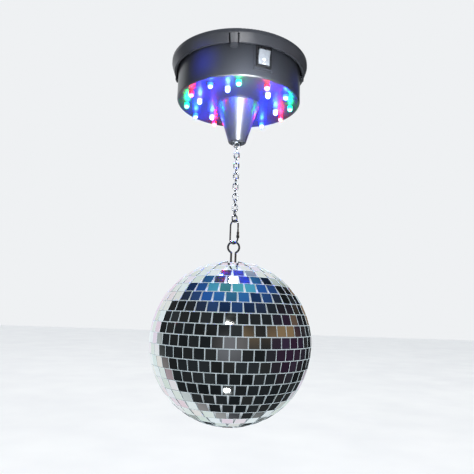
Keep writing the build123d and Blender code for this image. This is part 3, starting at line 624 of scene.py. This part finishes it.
lightLook = {
    # soft studio light, kept out of the mirrors
    "softFill": {"place": (-0.7, -1.1, 0.1), "aim": (0, 0, -0.2), "watts": 2.4,
                 "size": (0.9, 0.9), "mirrored": False},
    "softKey": {"place": (0.8, -0.9, 0.5), "aim": (0, 0, -0.2), "watts": 3.6, "colour": "#f4f8ff",
                "size": (0.7, 0.7), "mirrored": False},
    "plateShine": {"place": (0.10, -0.55, 0.75), "aim": (0, 0, 0), "watts": 1.6,
                   "size": (0.4, 0.3), "mirrored": False},
    # small lights that face one piece, so that nothing else mirrors them
    "coneShine": {"place": (0.020, -0.105, -0.098), "aim": (0.002, 0, -0.06), "watts": 0.16,
                  "colour": "#f4faff", "size": (0.050, 0.09), "spread": 70},
    "rimShine": {"place": (0, -0.071, -0.078), "aim": (0, -0.061, -0.04), "watts": 0.014,
                 "size": (0.07, 0.003), "spread": 70},
    "latchShine": {"place": (0.004, -0.135, -0.017), "aim": (0.002, -0.066, -0.008),
                   "watts": 0.004, "size": (0.05, 0.010), "spread": 70},
    # glints in three tiles, one above another
    "crownGlint": {"place": (0.0005, -0.0394, -0.1217), "aim": (0.0005, -0.0513, -0.2209),
                   "watts": 0.03, "size": (0.009, 0.009)},
    "browGlint": {"place": (0.0048, -0.3237, -0.0935), "aim": (0.004, -0.0726, -0.2567),
                  "watts": 0.004, "size": (0.007, 0.004)},
    "chinGlint": {"place": (-0.0019, -0.1793, -0.5344), "aim": (0, -0.0653, -0.3119),
                  "watts": 0.002, "size": (0.007, 0.0024)},
    # lifts the floor towards the colour behind it
    "overhead": {"place": (0, 1.5, 2.6), "aim": (0, 1.5, -1), "watts": 26.0,
                 "size": (8.0, 6.0), "mirrored": False},
    # soft-edged pools of blue on the drum's wall and the cone, as the lamps throw
    "bluePoolLeft": {"place": (-0.25, -0.40, -0.05), "aim": (-0.032, -0.052, -0.026),
                     "watts": 50.0, "colour": "#1030ff", "angle": 4.4, "mirrored": False},
    "bluePoolRight": {"place": (0.40, -0.30, -0.08), "aim": (0.054, -0.026, -0.034),
                      "watts": 26.0, "colour": "#1030ff", "angle": 3.6, "mirrored": False},
    "bluePoolConeLeft": {"place": (-0.20, -0.16, -0.14), "aim": (-0.012, -0.006, -0.062),
                         "watts": 9.0, "colour": "#1838ff", "angle": 6.0, "mirrored": False},
    "bluePoolConeRight": {"place": (0.20, -0.12, -0.14), "aim": (0.014, -0.004, -0.062),
                          "watts": 24.0, "colour": "#1530ff", "angle": 7.0, "mirrored": False},
}
bulbLook = {"radius": 0.0015, "below": 0.002, "bearings": 24, "spotRadius": 0.01}


def addLight(name, look):
    kind = "AREA" if "size" in look else "SPOT" if "angle" in look else "POINT"
    data = bpy.data.lights.new(name, kind)
    data.energy = look["watts"]
    data.color = linearColour(look.get("colour", "#ffffff"))[:3]
    if kind == "AREA":
        data.shape = "RECTANGLE"
        data.size, data.size_y = look["size"]
        data.spread = math.radians(look.get("spread", 180))
    elif kind == "SPOT":
        data.shadow_soft_size = bulbLook["spotRadius"]
        data.spot_size = math.radians(look["angle"])
        data.spot_blend = 1.0
    else:
        data.shadow_soft_size = bulbLook["radius"]
    light = bpy.data.objects.new(name, data)
    light.location = look["place"]
    aim = Vector(look["aim"]) - Vector(look["place"])
    light.rotation_euler = aim.to_track_quat("-Z", "Y").to_euler()
    light.visible_glossy = look.get("mirrored", True)
    light.visible_camera = False
    scene.collection.objects.link(light)


for name, look in lightLook.items():
    addLight(name, look)

# one small light under each lamp, found by its bearing
for nodeName, look in lampLook.items():
    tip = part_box(nodeName)[0][2]
    lamps = {}
    for vert in nodes[nodeName].data.vertices:
        share = math.degrees(math.atan2(vert.co.y, vert.co.x)) / (360 / bulbLook["bearings"])
        lamps.setdefault(round(share) % bulbLook["bearings"], []).append(vert.co)
    for bearing, points in lamps.items():
        centre = sum(points, Vector()) / len(points)
        addLight(nodeName.replace("_lamps", "Glow") + str(bearing), {
            "place": (centre.x, centre.y, tip - bulbLook["below"]), "aim": (0, 0, -1),
            "watts": look["watts"], "colour": look["glow"]})
print("lights placed")

# camera

cameraLook = {"place": (0.00295, -0.4592, -0.2477), "pitch": 8.843, "roll": 1.862, "lens": 36.61,
              "sensor": 36.0, "clipStart": 0.01}
cameraData = bpy.data.cameras.new("camera")
cameraData.sensor_width = cameraLook["sensor"]
cameraData.lens = cameraLook["lens"]
cameraData.clip_start = cameraLook["clipStart"]
camera = bpy.data.objects.new("camera", cameraData)
camera.location = cameraLook["place"]
camera.rotation_euler = (math.radians(90 + cameraLook["pitch"]), 0, 0)
camera.rotation_euler.rotate_axis("Z", math.radians(cameraLook["roll"]))
scene.collection.objects.link(camera)
scene.camera = camera
scene.view_settings.view_transform = "Standard"
